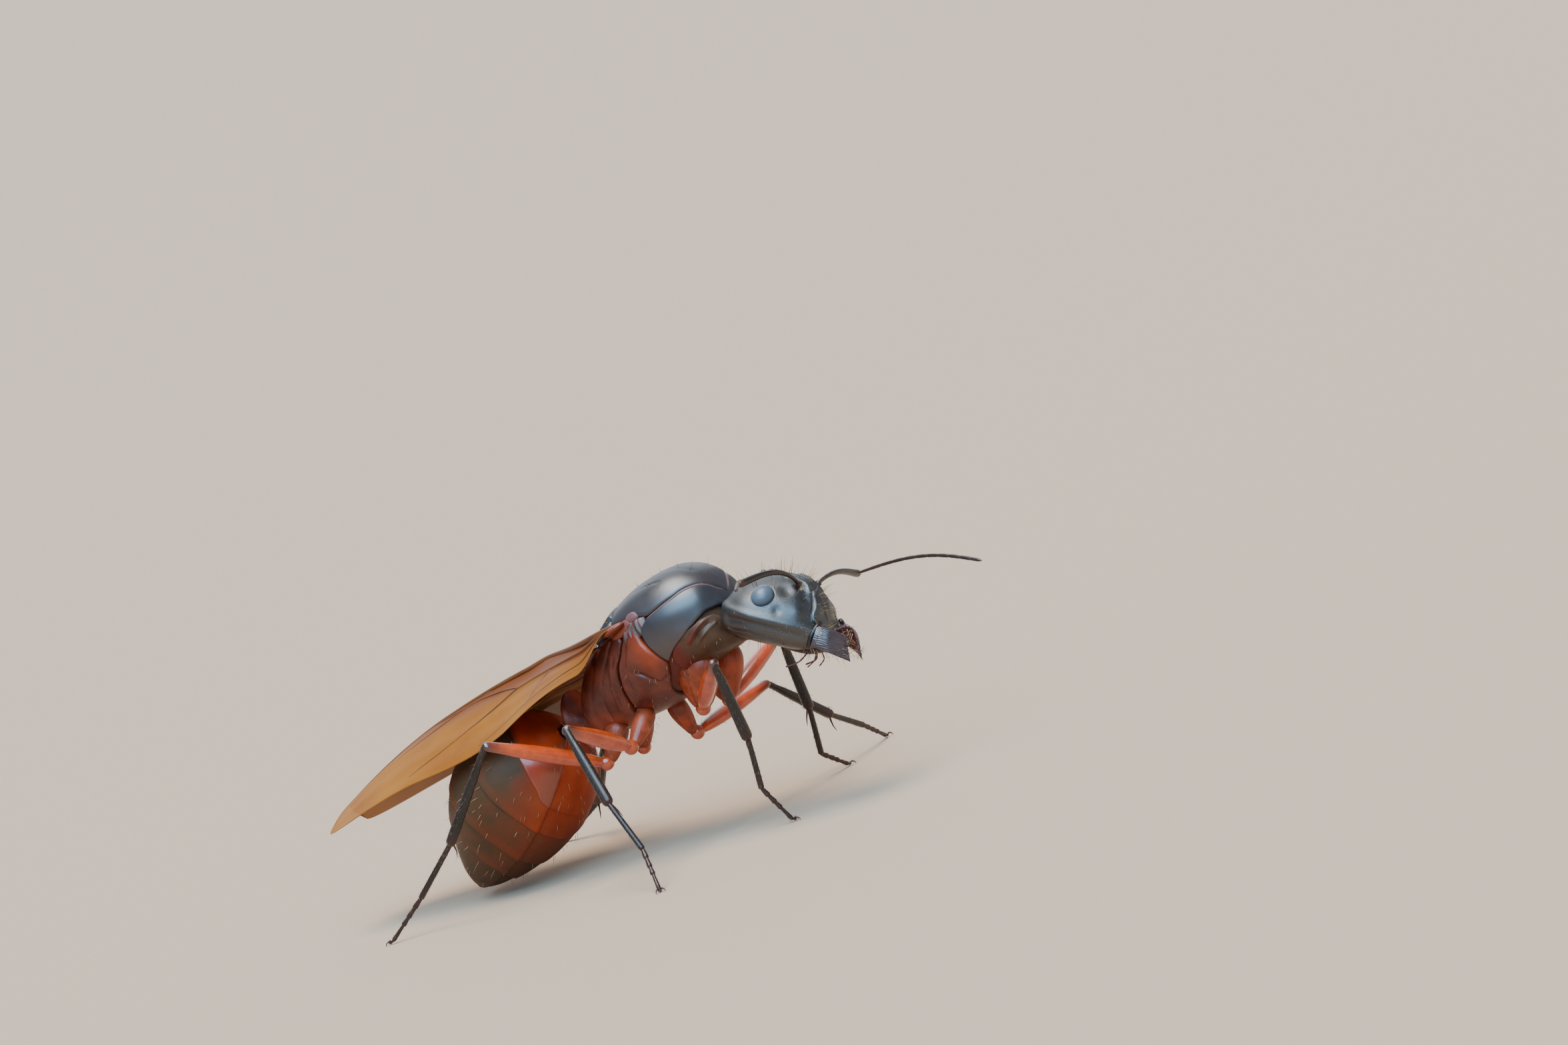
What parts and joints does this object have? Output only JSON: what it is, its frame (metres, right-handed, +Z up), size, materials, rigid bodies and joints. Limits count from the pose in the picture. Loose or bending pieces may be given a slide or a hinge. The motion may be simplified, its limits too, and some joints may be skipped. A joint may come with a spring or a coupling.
{
  "type": "winged carpenter ant queen, still life-size model",
  "caption": "Winged carpenter ant queen standing on its feet, wings folded along the back, head lowered and feelers spread.",
  "frame": {"origin": "on the floor, under the middle of the bounding box of the whole model", "axes": "+X the ant's heading, +Y its left side, +Z up"},
  "size_m": [0.0202, 0.0146, 0.0072],
  "materials": {
    "black_shell": "satin black shell with a blue-grey sheen and fine net-like sculpture",
    "brown_shell": "dark brown satin shell",
    "red_brown_shell": "red-brown satin shell with fine grooves",
    "orange_red_shell": "glossy, slightly translucent orange-red shell",
    "dark_brown_shell": "dark brown shell under short pale hairs",
    "jaw_brown": "dark purple-brown jaw, finely grooved lengthwise",
    "eye_grey": "grey-blue compound eye, softly shining",
    "amber_wing": "clear amber membrane with rust-brown veins"
  },
  "bodies": {
    "root": {"coxa_fore_l": "orange_red_shell", "coxa_fore_r": "orange_red_shell", "coxa_hind_l": "orange_red_shell", "coxa_hind_r": "orange_red_shell", "coxa_mid_l": "orange_red_shell", "coxa_mid_r": "orange_red_shell", "eye_l": "eye_grey", "eye_r": "eye_grey", "femur_fore_l": "orange_red_shell", "femur_fore_r": "orange_red_shell", "femur_hind_l": "orange_red_shell", "femur_hind_r": "orange_red_shell", "femur_mid_l": "orange_red_shell", "femur_mid_r": "orange_red_shell", "flagellum_l": "dark_brown_shell", "flagellum_r": "dark_brown_shell", "fore_wing_l": "amber_wing", "fore_wing_r": "amber_wing", "gaster_1": "orange_red_shell", "gaster_2": "dark_brown_shell", "gaster_3": "dark_brown_shell", "gaster_4": "dark_brown_shell", "gaster_5": "dark_brown_shell", "head": "black_shell", "hind_wing_l": "amber_wing", "hind_wing_r": "amber_wing", "mandible_l": "jaw_brown", "mandible_r": "jaw_brown", "mesopleuron": "red_brown_shell", "mesoscutum": "black_shell", "petiole": "red_brown_shell", "pronotum": "black_shell", "propleuron": "brown_shell", "propodeum": "red_brown_shell", "scape_l": "dark_brown_shell", "scape_r": "dark_brown_shell", "scutellum": "black_shell", "tarsus_fore_l": "dark_brown_shell", "tarsus_fore_r": "dark_brown_shell", "tarsus_hind_l": "dark_brown_shell", "tarsus_hind_r": "dark_brown_shell", "tarsus_mid_l": "dark_brown_shell", "tarsus_mid_r": "dark_brown_shell", "tibia_fore_l": "dark_brown_shell", "tibia_fore_r": "dark_brown_shell", "tibia_hind_l": "dark_brown_shell", "tibia_hind_r": "dark_brown_shell", "tibia_mid_l": "dark_brown_shell", "tibia_mid_r": "dark_brown_shell"}
  },
  "joints": []
}
